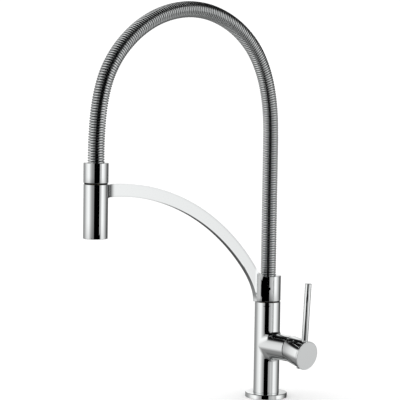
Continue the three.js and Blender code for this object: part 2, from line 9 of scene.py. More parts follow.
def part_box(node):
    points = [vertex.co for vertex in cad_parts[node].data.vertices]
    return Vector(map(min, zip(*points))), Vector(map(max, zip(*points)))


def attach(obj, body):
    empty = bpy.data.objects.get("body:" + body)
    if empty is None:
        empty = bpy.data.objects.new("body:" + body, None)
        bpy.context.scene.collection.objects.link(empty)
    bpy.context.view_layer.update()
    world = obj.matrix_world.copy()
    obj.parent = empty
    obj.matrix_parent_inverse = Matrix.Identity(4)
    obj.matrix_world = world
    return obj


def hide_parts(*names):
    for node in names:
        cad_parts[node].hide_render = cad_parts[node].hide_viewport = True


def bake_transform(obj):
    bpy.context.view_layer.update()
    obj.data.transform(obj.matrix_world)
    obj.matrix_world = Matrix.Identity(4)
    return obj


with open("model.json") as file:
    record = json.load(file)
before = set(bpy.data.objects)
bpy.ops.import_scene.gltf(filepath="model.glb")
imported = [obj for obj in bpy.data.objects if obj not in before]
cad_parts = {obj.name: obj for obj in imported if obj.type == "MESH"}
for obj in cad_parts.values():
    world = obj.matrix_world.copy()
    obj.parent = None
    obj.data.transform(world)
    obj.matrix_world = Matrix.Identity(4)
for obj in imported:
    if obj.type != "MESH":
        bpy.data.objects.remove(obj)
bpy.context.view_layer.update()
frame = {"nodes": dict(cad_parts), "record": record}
scene = bpy.context.scene

MM = 0.001

# ---- camera ---------------------------------------------------------------------------------

# Azimuth is measured from -Y towards +X, elevation upwards from level.
CAMERA_AZIMUTH = math.radians(47.885)
CAMERA_ELEVATION = math.radians(4.455)
CAMERA_ROLL = math.radians(0.865)
CAMERA_DISTANCE = 2.0211
CAMERA_TARGET = Vector((0, -0.11666, 0.25158))
CAMERA_LENS = 151.73


def place_camera():
    towards_camera = Vector((
        math.sin(CAMERA_AZIMUTH) * math.cos(CAMERA_ELEVATION),
        -math.cos(CAMERA_AZIMUTH) * math.cos(CAMERA_ELEVATION),
        math.sin(CAMERA_ELEVATION),
    ))
    level = towards_camera.to_track_quat("Z", "Y").to_matrix()
    turned_over = level @ Matrix.Rotation(CAMERA_ROLL, 3, "Z")
    lens = bpy.data.cameras.new("Camera")
    lens.sensor_width = 36
    lens.lens = CAMERA_LENS
    camera = bpy.data.objects.new("Camera", lens)
    place = turned_over.to_4x4()
    place.translation = CAMERA_TARGET + CAMERA_DISTANCE * towards_camera
    camera.matrix_world = place
    scene.collection.objects.link(camera)
    scene.camera = camera


place_camera()

# ---- the hose's route -----------------------------------------------------------------------

# Reach from the column's axis and height above the deck, in millimetres, as in the part.
HOSE_ROUTE = [
    (0, 149.4), (0, 200), (0, 250), (0, 300), (0.3, 335), (2.6, 362), (8.5, 389),
    (17.5, 411.5), (29.5, 430.5), (44.5, 446), (62.5, 459), (84, 469.3), (109, 476.3),
    (137, 478.3), (165, 474.6), (191.5, 466), (214.5, 453.5), (233.5, 438.5), (249, 421.5),
    (261, 402), (268.5, 381.5), (273.3, 358), (275.6, 333), (276.2, 315), (276.2, 297.5),
]

# ---- nodes and materials --------------------------------------------------------------------


def linear(hex_colour):
    """An sRGB hex colour as linear red, green, blue and alpha."""
    channels = [int(hex_colour[i:i + 2], 16) / 255 for i in (1, 3, 5)]
    return [c / 12.92 if c <= 0.04045 else ((c + 0.055) / 1.055) ** 2.4 for c in channels] + [1]


def add_node(tree, kind, settings=(), inputs=()):
    """A new node with its settings, and its inputs set to a value or linked from a socket."""
    node = tree.nodes.new(kind)
    for name, value in dict(settings).items():
        setattr(node, name, value)
    for name, value in dict(inputs).items():
        if isinstance(value, bpy.types.NodeSocket):
            tree.links.new(value, node.inputs[name])
        else:
            node.inputs[name].default_value = value
    return node


def set_stops(ramp_node, stops):
    """Sets a colour ramp to (position, grey) stops, the grey being linear light."""
    ramp = ramp_node.color_ramp
    while len(ramp.elements) > 1:
        ramp.elements.remove(ramp.elements[-1])
    for number, (position, grey) in enumerate(stops):
        stop = ramp.elements[0] if number == 0 else ramp.elements.new(position)
        stop.position = position
        stop.color = (grey, grey, grey, 1)
    return ramp_node


def finish_material(name, colour, roughness, metallic, grain_mm, roughness_spread, bump_mm):
    """A surface whose roughness and height vary a little, on a grain of a real size."""
    material = bpy.data.materials.new(name)
    material.use_nodes = True
    tree = material.node_tree
    tree.nodes.clear()
    place = add_node(tree, "ShaderNodeTexCoord")
    grain = add_node(tree, "ShaderNodeTexNoise", {"noise_dimensions": "3D"}, {
        "Vector": place.outputs["Object"],
        "Scale": 1 / (grain_mm * MM),
        "Detail": 1.0,
    })
    spread = add_node(tree, "ShaderNodeMapRange", (), {
        "Value": grain.outputs["Fac"],
        "From Min": 0.3,
        "From Max": 0.7,
        "To Min": roughness - roughness_spread,
        "To Max": roughness + roughness_spread,
    })
    relief = add_node(tree, "ShaderNodeBump", (), {
        "Strength": 1.0,
        "Distance": bump_mm * MM,
        "Height": grain.outputs["Fac"],
    })
    shader = add_node(tree, "ShaderNodeBsdfPrincipled", (), {
        "Base Color": linear(colour),
        "Metallic": metallic,
        "Roughness": spread.outputs["Result"],
        "Normal": relief.outputs["Normal"],
    })
    add_node(tree, "ShaderNodeOutputMaterial", (), {"Surface": shader.outputs["BSDF"]})
    return material


# Bright nickel under chrome, polished: a mirror with a very faint orange peel.
CHROME = finish_material("polished_chrome_plate", "#f3f5f5", 0.03, 1.0, 14, 0.01, 0.0004)
# The coil's round wire is drawn and plated, so it is a little less sharp than polished castings.
PLATED_WIRE = finish_material("plated_spring_wire", "#eceeee", 0.05, 1.0, 8, 0.02, 0.001)
# Turned brass keeps fine tool marks and dulls slightly.
BRASS = finish_material("turned_brass", "#c9a35a", 0.3, 1.0, 1.2, 0.08, 0.01)
# Turned stainless steel, satin.
STEEL = finish_material("turned_stainless_steel", "#b9bbbd", 0.28, 1.0, 1.2, 0.08, 0.01)
# Nitrile rubber seals are matte and faintly dusty.
RUBBER = finish_material("nitrile_rubber", "#1a1a1a", 0.75, 0.0, 0.8, 0.1, 0.02)
# Soft silicone nozzles, smooth and dark grey.
SILICONE = finish_material("grey_silicone", "#3a3d40", 0.5, 0.0, 0.8, 0.06, 0.01)
# Acetal rings and bearings have a satin moulded skin.
ACETAL = finish_material("black_acetal", "#08080a", 0.5, 0.0, 1.5, 0.06, 0.01)
# Pale acetal housings inside the tap.
PALE_ACETAL = finish_material("natural_acetal", "#dedfda", 0.45, 0.0, 1.5, 0.06, 0.01)


BRAID_THREAD = 1.2 * MM
WAVES_PER_UNIT = 20              # how many waves Blender's wave texture fits in one unit of scale
BRAID_LEAN = 0.8                 # radians that the threads lean from square, each way


def braided_material():
    """Braided hose: crossed threads over dark rubber."""
    material = bpy.data.materials.new("braided_nylon_hose")
    material.use_nodes = True
    tree = material.node_tree
    tree.nodes.clear()
    place = add_node(tree, "ShaderNodeTexCoord")
    threads = []
    for lean in (-BRAID_LEAN, BRAID_LEAN):
        slanted = add_node(tree, "ShaderNodeMapping", (), {
            "Vector": place.outputs["Object"],
            "Rotation": (lean, 0, 0),
        })
        threads.append(add_node(tree, "ShaderNodeTexWave", {"bands_direction": "Z"}, {
            "Vector": slanted.outputs["Vector"],
            "Scale": 1 / (WAVES_PER_UNIT * BRAID_THREAD),
        }))
    crossed = add_node(tree, "ShaderNodeMath", {"operation": "MAXIMUM"}, {
        0: threads[0].outputs["Fac"],
        1: threads[1].outputs["Fac"],
    })
    relief = add_node(tree, "ShaderNodeBump", (), {
        "Distance": 0.15 * MM,
        "Height": crossed.outputs["Value"],
    })
    shader = add_node(tree, "ShaderNodeBsdfPrincipled", (), {
        "Base Color": linear("#3c3f42"),
        "Roughness": 0.55,
        "Normal": relief.outputs["Normal"],
    })
    add_node(tree, "ShaderNodeOutputMaterial", (), {"Surface": shader.outputs["BSDF"]})
    return material


BRAID = braided_material()

# ---- studio ---------------------------------------------------------------------------------

# What a polished upright sees round the room, as (degrees round from the camera, light).
# Positive turns to the camera's right.
ROUND_THE_ROOM = [
    (-180, 1.00), (-168, 0.32), (-150, 0.30), (-125, 0.34), (-108, 0.50), (-94, 0.80), (-78, 0.98),
    (-62, 1.08), (-48, 0.70), (-38, 0.44), (-24, 0.28), (0, 0.22), (14, 0.38), (28, 0.50), (38, 0.62),
    (50, 0.50), (55, 0.52), (59, 1.04), (74, 1.06), (86, 0.88), (98, 0.60), (112, 0.32),
    (128, 0.09), (150, 0.07), (168, 0.20), (180, 1.00),
]
# How much of the walls' light is left higher up, as (upward part of the direction, share).
UPWARDS = [(0.0, 1.0), (0.5, 1.0), (0.63, 0.02), (1.0, 0.01)]
# The floor as polished metal sees it, round from the camera.
FLOOR_ROUND = [
    (-180, 0.10), (-150, 0.08), (-125, 0.12), (-105, 0.26), (-60, 0.22), (-30, 0.12), (0, 0.08),
    (30, 0.12), (60, 0.40), (95, 0.55), (140, 0.14), (180, 0.10),
]
# How far down (as part of the direction) the floor starts to show, and where it is all there is.
FLOOR_STARTS = -0.12
FLOOR_ONLY = -0.5
# Light that falls on matte surfaces, and that the camera sees behind the tap.
SOFT_LIGHT = 1.1
# The black flag beside the camera: how far it stands from the column towards the camera, its
# left and right edges, and the wider bar across it.
FLAG_AHEAD = 0.583
FLAG_SIDES = (-0.285, 0.125)
FLAG_HEIGHTS = (-0.5, 1.2)
BAR_SIDES = (-0.47, 0.225)
BAR_HEIGHTS = (0.047, 0.084)


def black_flag():
    """Two black cards that only polished surfaces see."""
    ahead = Vector((math.sin(CAMERA_AZIMUTH), -math.cos(CAMERA_AZIMUTH), 0))
    rightwards = Vector((math.cos(CAMERA_AZIMUTH), math.sin(CAMERA_AZIMUTH), 0))
    cloth = bpy.data.materials.new("black_velvet")
    cloth.use_nodes = True
    shader = cloth.node_tree.nodes["Principled BSDF"]
    shader.inputs["Base Color"].default_value = (0, 0, 0, 1)
    shader.inputs["Specular IOR Level"].default_value = 0.0
    for name, sides, heights in (("Flag", FLAG_SIDES, FLAG_HEIGHTS),
                                 ("Flag_bar", BAR_SIDES, BAR_HEIGHTS)):
        card = bmesh.new()
        corners = [
            card.verts.new(FLAG_AHEAD * ahead + sides[i] * rightwards
                           + heights[j] * Vector((0, 0, 1)))
            for i, j in ((0, 0), (1, 0), (1, 1), (0, 1))
        ]
        card.faces.new(corners)
        mesh = bpy.data.meshes.new(name)
        card.to_mesh(mesh)
        card.free()
        mesh.materials.append(cloth)
        flag = bpy.data.objects.new(name, mesh)
        flag.visible_camera = False
        flag.visible_diffuse = False
        flag.visible_shadow = False
        scene.collection.objects.link(flag)


def room_light():
    """A dim, banded room for polished metal, and even white light for everything else."""
    world = bpy.data.worlds.new("Studio")
    scene.world = world
    world.use_nodes = True
    tree = world.node_tree
    tree.nodes.clear()
    place = add_node(tree, "ShaderNodeTexCoord")
    facing = add_node(tree, "ShaderNodeMapping", (), {
        "Vector": place.outputs["Generated"],
        "Rotation": (0, 0, math.pi / 2 - CAMERA_AZIMUTH),
    })
    round_about = add_node(tree, "ShaderNodeTexGradient", {"gradient_type": "RADIAL"}, {
        "Vector": facing.outputs["Vector"],
    })
    room, floor_round = [
        set_stops(
            add_node(tree, "ShaderNodeValToRGB", (), {"Fac": round_about.outputs["Fac"]}),
            [(0.5 + angle / 360, light) for angle, light in stops],
        )
        for stops in (ROUND_THE_ROOM, FLOOR_ROUND)
    ]
    parts = add_node(tree, "ShaderNodeSeparateXYZ", (), {"Vector": place.outputs["Generated"]})
    lowered = add_node(tree, "ShaderNodeMapRange", {"interpolation_type": "SMOOTHSTEP"}, {
        "Value": parts.outputs["Z"],
        "From Min": FLOOR_STARTS,
        "From Max": FLOOR_ONLY,
    })
    ceiling = set_stops(
        add_node(tree, "ShaderNodeValToRGB", (), {"Fac": parts.outputs["Z"]}), UPWARDS)
    with_floor = add_node(tree, "ShaderNodeMix", {"data_type": "RGBA"}, {
        "Factor": lowered.outputs["Result"],
        6: room.outputs["Color"],
        7: floor_round.outputs["Color"],
    })
    seen = add_node(tree, "ShaderNodeMix", {"data_type": "RGBA", "blend_type": "MULTIPLY"}, {
        "Factor": 1.0,
        6: with_floor.outputs[2],
        7: ceiling.outputs["Color"],
    })
    ray = add_node(tree, "ShaderNodeLightPath")
    chosen = add_node(tree, "ShaderNodeMix", {"data_type": "RGBA"}, {
        "Factor": ray.outputs["Is Glossy Ray"],
        6: (SOFT_LIGHT, SOFT_LIGHT, SOFT_LIGHT, 1),
        7: seen.outputs[2],
    })
    light = add_node(tree, "ShaderNodeBackground", (), {"Color": chosen.outputs[2]})
    add_node(tree, "ShaderNodeOutputWorld", (), {"Surface": light.outputs["Background"]})


def soft_key():
    """A large soft light, above and to the left, that polished metal doesn't mirror."""
    soft = bpy.data.lights.new("Soft_key", "AREA")
    soft.shape = "RECTANGLE"
    soft.size = 1.4
    soft.size_y = 1.0
    soft.energy = 3
    key = bpy.data.objects.new("Soft_key", soft)
    above_left = Vector((-0.4, -1.6, 1.9))
    aim = (above_left - CAMERA_TARGET).to_track_quat("Z", "Y").to_matrix().to_4x4()
    aim.translation = above_left
    key.matrix_world = aim
    key.visible_glossy = False
    scene.collection.objects.link(key)


FLOOR_HALF = 6
FLOOR_DROP = 0.2 * MM            # keeps the floor just under the flange


def pale_floor():
    """The deck: a plain pale sheet that polished metal doesn't mirror, as it fades into the studio."""
    sheet = bmesh.new()
    bmesh.ops.create_grid(sheet, x_segments=1, y_segments=1, size=FLOOR_HALF)
    mesh = bpy.data.meshes.new("Floor")
    sheet.to_mesh(mesh)
    sheet.free()
    mesh.transform(Matrix.Translation((0, 0, -FLOOR_DROP)))
    paint = bpy.data.materials.new("pale_matte_paint")
    paint.use_nodes = True
    shader = paint.node_tree.nodes["Principled BSDF"]
    shader.inputs["Base Color"].default_value = linear("#fcfcfc")
    shader.inputs["Roughness"].default_value = 0.9
    shader.inputs["Specular IOR Level"].default_value = 0.0
    mesh.materials.append(paint)
    floor = bpy.data.objects.new("Floor", mesh)
    floor.visible_glossy = False
    scene.collection.objects.link(floor)


room_light()
soft_key()
pale_floor()
black_flag()

# ---- measures from the frame ----------------------------------------------------------------


def width(node, axis=0):
    low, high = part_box(node)
    return high[axis] - low[axis]


def foot(node):
    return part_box(node)[0][2]


def top(node):
    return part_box(node)[1][2]


def joint_place(name):
    for joint in frame["record"]["behaviour"]["joints"]:
        if joint["name"] == name:
            return Vector(joint["pos_m"])
    raise LookupError(name)


COLUMN_R = width("tap_body", 1) / 2
PIVOT = joint_place("flow_tilt")
HEAD_AXIS = joint_place("head_turn")
HEAD_REACH = -HEAD_AXIS.y
HOSE_HOLE_R = 10.05 * MM
SHEATH_R = 9.7 * MM
HOSE_R = 6.2 * MM
REST_TILT = math.radians(7.5)

# ---- making pieces --------------------------------------------------------------------------

ROUND = 128                      # facets round a polished piece


def add_piece(name, mesh_maker, material, body, stands_for=(), crease=32):
    """Turns a bmesh into a finished piece that rides on a body."""
    mesh = bpy.data.meshes.new(name)
    mesh_maker.to_mesh(mesh)
    mesh_maker.free()
    mesh.materials.append(material)
    mesh.shade_smooth()
    mesh.set_sharp_from_angle(angle=math.radians(crease))
    piece = bpy.data.objects.new(name, mesh)
    scene.collection.objects.link(piece)
    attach(piece, body)
    if stands_for:
        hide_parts(*stands_for)
    return piece


def soften(shape, edge_width, segments=3, angle=32, where=None):
    """Rounds the edges whose faces meet at more than an angle."""
    limit = math.radians(angle)
    edges = [
        edge for edge in shape.edges
        if len(edge.link_faces) == 2 and edge.calc_face_angle(0) > limit
        and (where is None or where(edge))
    ]
    bmesh.ops.bevel(shape, geom=edges, offset=edge_width, segments=segments, profile=0.5,
                    affect="EDGES", material=-1, clamp_overlap=True)


def turned(profile, steps=ROUND):
    """A solid of revolution about Z, from (radius, height) corners of its half section.

    A profile that stays off the axis is closed into a ring.
    """
    shape = bmesh.new()
    corners = [shape.verts.new((radius, 0, height)) for radius, height in profile]
    for first, second in zip(corners, corners[1:]):
        shape.edges.new((first, second))
    if profile[0][0] > 0 and profile[-1][0] > 0:
        shape.edges.new((corners[-1], corners[0]))
    bmesh.ops.spin(shape, geom=shape.verts[:] + shape.edges[:], axis=(0, 0, 1), cent=(0, 0, 0),
                   angle=2 * math.pi, steps=steps, use_merge=True)
    bmesh.ops.remove_doubles(shape, verts=shape.verts[:], dist=1e-6)
    bmesh.ops.recalc_face_normals(shape, faces=shape.faces[:])
    return shape


def moved(shape, matrix):
    bmesh.ops.transform(shape, matrix=matrix, verts=shape.verts[:])
    return shape


# ---- flange, seam rings, collar, sleeve -----------------------------------------------------

FLANGE_BORE_GAP = 0.3 * MM
FLANGE_ROUND = 1.1 * MM
SEAM_RING_WIDTH = 3 * MM
CUP_ROUND = 0.45 * MM
COLLAR_WALL = 3.6 * MM
COLLAR_ROOF = 5 * MM
SLEEVE_WALL = 2.5 * MM
SLEEVE_ROOF = 4 * MM
HEAD_WALL = 1.75 * MM
HEAD_ROOF = 3.6 * MM
HEAD_THROAT_R = 8 * MM


def flange():
    inner, outer = COLUMN_R + FLANGE_BORE_GAP, width("base_flange") / 2
    low, high = foot("base_flange"), top("base_flange")
    shape = turned([(inner, low), (outer, low), (outer, high), (inner, high)])
    soften(shape, FLANGE_ROUND, segments=5,
           where=lambda edge: min(v.co.z for v in edge.verts) > high - 0.1 * MM
           and edge.verts[0].co.xy.length > outer - 0.1 * MM)
    add_piece("base_flange_finish", shape, CHROME, "column", ["base_flange"])


def seam_rings():
    for node, body, centre in (("seam_ring", "column", (0, 0, 0)),
                               ("head_seam_ring", "hose_end", (0, -HEAD_REACH, 0))):
        outer = width(node) / 2
        low, high = foot(node), top(node)
        inner = outer - SEAM_RING_WIDTH
        shape = turned([(inner, low), (outer, low), (outer, high), (inner, high)])
        soften(shape, 0.1 * MM, segments=2)
        add_piece(f"{node}_finish", moved(shape, Matrix.Translation(centre)), ACETAL, body,
                  [node])


def hose_cup(node, wall, roof, body, centre):
    """A tube with a thick roof that the hose passes through."""
    outer = width(node) / 2
    low, high = foot(node), top(node)
    inner = outer - wall
    shape = turned([
        (inner, low), (outer, low), (outer, high), (HOSE_HOLE_R, high),
        (HOSE_HOLE_R, high - roof), (inner, high - roof),
    ])
    soften(shape, CUP_ROUND)
    add_piece(f"{node}_finish", moved(shape, Matrix.Translation(centre)), CHROME, body,
              [node])


def spray_shell():
    outer = width("spray_shell") / 2
    low, high = foot("spray_shell"), top("spray_shell")
    bore = outer - HEAD_WALL
    roof = high - HEAD_ROOF
    shape = turned([
        (bore, low), (outer, low), (outer, high), (HEAD_THROAT_R, high), (HEAD_THROAT_R, roof),
        (bore, roof),
    ])
    soften(shape, 0.5 * MM, segments=4)
    add_piece("spray_shell_finish", moved(shape, Matrix.Translation((0, -HEAD_REACH, 0))), CHROME,
              "spray_head", ["spray_shell"])


# ---- column with its side branch ------------------------------------------------------------

TEE_FILLET_TOP = 3.4 * MM        # the blend is tight above and below, and broad at the sides
TEE_FILLET_SIDE = 16 * MM
TEE_SIDES = 64                   # steps round half of the column
TEE_STRAIGHT = 8
TEE_ARC = 12
BRANCH_END = 42.5 * MM
BRANCH_RIM = [15.4 * MM, 14.8 * MM, 14.1 * MM, 13.5 * MM, 12.9 * MM]   # radii, in to the bore
CARTRIDGE_SEAT = 14.2 * MM
COLUMN_BORE_R = 12.6 * MM
BORE_FROM_TOP = 24 * MM
BORE_FROM_FOOT = 30 * MM
WELD = 0.002 * MM                # vertices nearer than this are one


def tee():
    """Column and branch of one radius, joined by a rolled fillet above and below."""
    radius = COLUMN_R
    low, high = foot("tap_body"), top("tap_body")
    middle = PIVOT.z
    shape = bmesh.new()

    def front(side):
        """Maps a flat grid onto the column above or below, the fillet, and the branch."""
        end = high if side > 0 else low

        def place(across, along):
            angle = math.pi * across
            cosine, sine = math.cos(angle), math.sin(angle)
            if abs(cosine) < 1e-9:
                cosine = 0
            fillet = TEE_FILLET_TOP + (TEE_FILLET_SIDE - TEE_FILLET_TOP) * sine ** 2
            reach = radius + fillet
            step = along * (2 * TEE_STRAIGHT + TEE_ARC)
            if step <= TEE_STRAIGHT:
                contact = middle + side * reach * cosine
                return Vector((radius * cosine, radius * sine,
                               end + (contact - end) * step / TEE_STRAIGHT))
            if step >= TEE_STRAIGHT + TEE_ARC:
                share = (step - TEE_STRAIGHT - TEE_ARC) / TEE_STRAIGHT
                contact = reach * cosine
                return Vector((contact + (BRANCH_END - contact) * share, radius * sine,
                               middle + side * radius * cosine))
            ball = Vector((reach * cosine, reach * sine, middle + side * reach * cosine))
            to_column = Vector((cosine, sine, 0))
            to_branch = Vector((0, sine, side * cosine))
            if cosine == 0:
                return ball - fillet * to_column
            share = (step - TEE_STRAIGHT) / TEE_ARC
            return ball - fillet * to_column.slerp(to_branch, share)

        return place

    def back(across, along):
        angle = math.pi * (across + 1)
        step = along * 2 * TEE_STRAIGHT
        if step <= TEE_STRAIGHT:
            height = high + (middle - high) * step / TEE_STRAIGHT
        else:
            height = middle + (low - middle) * (step - TEE_STRAIGHT) / TEE_STRAIGHT
        return Vector((radius * math.cos(angle), radius * math.sin(angle), height))

    for place, steps in ((front(1), 2 * TEE_STRAIGHT + TEE_ARC),
                         (front(-1), 2 * TEE_STRAIGHT + TEE_ARC), (back, 2 * TEE_STRAIGHT)):
        sheet = bmesh.ops.create_grid(shape, x_segments=TEE_SIDES, y_segments=steps, size=0.5)
        for vertex in sheet["verts"]:
            vertex.co = place(vertex.co.x, vertex.co.y + 0.5)
    bmesh.ops.remove_doubles(shape, verts=shape.verts[:], dist=WELD)

    def rim(test):
        return [edge for edge in shape.edges
                if edge.is_boundary and all(test(v.co) for v in edge.verts)]

    def extend(edges, change):
        """Carries an open rim on to where change puts it, and returns the new rim."""
        made = bmesh.ops.extrude_edge_only(shape, edges=edges)["geom"]
        for vertex in (item for item in made if isinstance(item, bmesh.types.BMVert)):
            vertex.co = change(vertex.co)
        return [item for item in made if isinstance(item, bmesh.types.BMEdge)
                and item.is_boundary]

    def shut(edges):
        bmesh.ops.holes_fill(shape, edges=edges, sides=0)

    # Bores at both ends of the column, shut where they are out of sight.
    narrowing = COLUMN_BORE_R / radius
    for height, depth in ((high, -BORE_FROM_TOP), (low, BORE_FROM_FOOT)):
        edges = rim(lambda co: abs(co.z - height) < 1e-5 and co.xy.length < radius + 1e-4)
        inwards = extend(edges, lambda co: Vector((co.x * narrowing, co.y * narrowing, co.z)))
        shut(extend(inwards, lambda co: co + Vector((0, 0, depth))))

    # The branch's rounded end, concentric with the handle's pivot, and its bore.
    ball = math.hypot(BRANCH_END - PIVOT.x, radius)
    edges = rim(lambda co: abs(co.x - BRANCH_END) < 1e-5)
    before = radius
    for ring in BRANCH_RIM:
        ahead = PIVOT.x + math.sqrt(ball ** 2 - ring ** 2)
        share = ring / before
        edges = extend(edges, lambda co: Vector((ahead, co.y * share,
                                                 middle + (co.z - middle) * share)))
        before = ring
    shut(extend(edges, lambda co: Vector((CARTRIDGE_SEAT, co.y, co.z))))
    bmesh.ops.recalc_face_normals(shape, faces=shape.faces[:])
    soften(shape, 0.3 * MM, segments=2, angle=40,
           where=lambda edge: all(v.co.x > BRANCH_END - 1e-5 for v in edge.verts)
           or all(abs(v.co.z - high) < 1e-5 for v in edge.verts)
           or all(abs(v.co.z - low) < 1e-5 for v in edge.verts))
    add_piece("tap_body_finish", shape, CHROME, "column", ["tap_body"])


# ---- support arm ----------------------------------------------------------------------------

ARM_CENTRE = Vector((251.5, -12)) * MM     # reach and height of the centre of both edge arcs
ARM_OUTER_R = 287.6 * MM
ARM_INNER_R = 272.8 * MM
ARM_HALF = 3 * MM
ROOT_CORNER = 22.3 * MM
ROOT_BLEND = 42 * MM
ROOT_SOFTNESS = 14 * MM
ROOT_FLARE = 25.2 * MM
DOCK_FLARE = 24.7 * MM
DOCK_R = 14.7 * MM
ARM_STEPS = 150
ARM_ACROSS = 6
ARM_THROUGH = 10


class Flare:
    """The concave widening of the plate where it meets an upright cylinder."""

    def __init__(self, cylinder, start):
        self.cylinder = cylinder
        self.start = start
        self.ball = ((ARM_HALF ** 2 + start ** 2 - cylinder ** 2)
                     / (2 * (cylinder - ARM_HALF)))
        away = math.hypot(start, ARM_HALF + self.ball)
        self.half = cylinder * (ARM_HALF + self.ball) / away
        self.near = cylinder * start / away

    def half_at(self, distance):
        if distance >= self.start:
            return ARM_HALF
        back = self.start - max(distance, self.near)
        return ARM_HALF + self.ball - math.sqrt(self.ball ** 2 - back ** 2)


def arc_height(radius, reach):
    return ARM_CENTRE.y + math.sqrt(radius ** 2 - (reach - ARM_CENTRE.x) ** 2)


def support_arm():
    root = Flare(COLUMN_R, ROOT_FLARE)
    dock = Flare(DOCK_R, DOCK_FLARE)
    root_low, root_high = foot("spout_collar"), top("spout_collar")
    root_end = root.near
    dock_end = HEAD_REACH - dock.near
    blend_height = arc_height(ARM_INNER_R, ROOT_BLEND)
    blend_lean = Vector(((blend_height - ARM_CENTRE.y) / ARM_INNER_R,
                         (ARM_CENTRE.x - ROOT_BLEND) / ARM_INNER_R))
    handles = [
        Vector((ROOT_CORNER, root_low)),
        Vector((ROOT_CORNER, root_low + ROOT_SOFTNESS)),
        Vector((ROOT_BLEND, blend_height)) - ROOT_SOFTNESS * blend_lean,
        Vector((ROOT_BLEND, blend_height)),
    ]
    foot_share, bend_share = 0.06, 0.26

    def inner(along):
        """The lower edge: the foot, the bend up from it, then the inner arc."""
        if along <= foot_share:
            return Vector((root_end + (ROOT_CORNER - root_end) * along / foot_share, root_low))
        if along <= bend_share:
            t = (along - foot_share) / (bend_share - foot_share)
            weights = ((1 - t) ** 3, 3 * t * (1 - t) ** 2, 3 * t * t * (1 - t), t ** 3)
            return sum((w * h for w, h in zip(weights, handles)), Vector((0, 0)))
        t = (along - bend_share) / (1 - bend_share)
        return on_arc(ARM_INNER_R, ROOT_BLEND, dock_end, t)

    def on_arc(radius, start, end, t):
        first = math.acos((start - ARM_CENTRE.x) / radius)
        last = math.acos((end - ARM_CENTRE.x) / radius)
        angle = first + (last - first) * t
        return ARM_CENTRE + radius * Vector((math.cos(angle), math.sin(angle)))

    drop = root_high - ARM_CENTRE.y
    shoulder = ARM_CENTRE.x - math.sqrt(ARM_OUTER_R ** 2 - drop ** 2)

    def outer(along):
        """The upper edge: level with the collar's top, then the outer arc."""
        if along <= foot_share:
            return Vector((root_end + (shoulder - root_end) * along / foot_share, root_high))
        t = (along - foot_share) / (1 - foot_share)
        return on_arc(ARM_OUTER_R, shoulder, dock_end, t)

    def half_width(reach):
        return max(root.half_at(reach), dock.half_at(HEAD_REACH - reach))

    loop = 2 * (ARM_ACROSS + ARM_THROUGH)

    def section(turn):
        """Sideways and upward shares, -1..1 and 0..1, of a point round the plate's section."""
        step = round(turn * loop) % loop
        if step < ARM_ACROSS:
            return -1, step / ARM_ACROSS
        step -= ARM_ACROSS
        if step < ARM_THROUGH:
            return 2 * step / ARM_THROUGH - 1, 1
        step -= ARM_THROUGH
        if step < ARM_ACROSS:
            return 1, 1 - step / ARM_ACROSS
        return 1 - 2 * (step - ARM_ACROSS) / ARM_THROUGH, 0

    shape = bmesh.new()
    sheet = bmesh.ops.create_grid(shape, x_segments=ARM_STEPS, y_segments=loop, size=0.5)
    for vertex in sheet["verts"]:
        along = min(max(vertex.co.x + 0.5, 0), 1)
        sideways, upward = section(vertex.co.y + 0.5)
        place = inner(along).lerp(outer(along), upward)
        half = half_width(place.x)
        # Both ends follow the cylinder that they meet.
        for flare, centre, side in ((root, 0, 1), (dock, HEAD_REACH, -1)):
            distance = abs(place.x - centre)
            closeness = (flare.start - distance) / (flare.start - flare.near)
            if closeness > 0:
                bulge = math.sqrt(flare.cylinder ** 2 - (sideways * flare.half) ** 2) - flare.near
                place.x += side * bulge * min(closeness, 1) ** 3
        vertex.co = Vector((sideways * half, -place.x, place.y))
    bmesh.ops.remove_doubles(shape, verts=shape.verts[:], dist=WELD)
    ends = [edge for edge in shape.edges if edge.is_boundary]
    for near_root in (True, False):
        rim = [edge for edge in ends
               if (-edge.verts[0].co.y < HEAD_REACH / 2) == near_root]
        bmesh.ops.grid_fill(shape, edges=rim, mat_nr=0, use_smooth=True)
    bmesh.ops.recalc_face_normals(shape, faces=shape.faces[:])
    soften(shape, 0.4 * MM, segments=3, angle=50)
    add_piece("support_arm_finish", shape, CHROME, "spout", ["support_arm"])


# ---- hose -----------------------------------------------------------------------------------

WIRE_R = 1.25 * MM
WIRE_PITCH = 2.95 * MM
WIRE_STEPS_PER_TURN = 22


def route_points(spacing):
    """Evenly spaced points on a smooth curve through the route, and the curve's length."""
    knots = [Vector((0, -reach * MM, height * MM)) for reach, height in HOSE_ROUTE]
    curve = []
    for i in range(len(knots) - 1):
        before = knots[i - 1] if i else 2 * knots[0] - knots[1]
        after = knots[i + 2] if i + 2 < len(knots) else 2 * knots[-1] - knots[-2]
        curve += list(catmull_rom(before, knots[i], knots[i + 1], after, 40))
    curve.append(knots[-1])
    lengths = [0]
    for first, second in zip(curve, curve[1:]):
        lengths.append(lengths[-1] + (second - first).length)
    count = round(lengths[-1] / spacing)
    points, at = [], 0
    for k in range(count + 1):
        goal = lengths[-1] * k / count
        while at < len(curve) - 2 and lengths[at + 1] < goal:
            at += 1
        share = (goal - lengths[at]) / (lengths[at + 1] - lengths[at])
        points.append(curve[at].lerp(curve[at + 1], min(share, 1)))
    return points, lengths[-1]


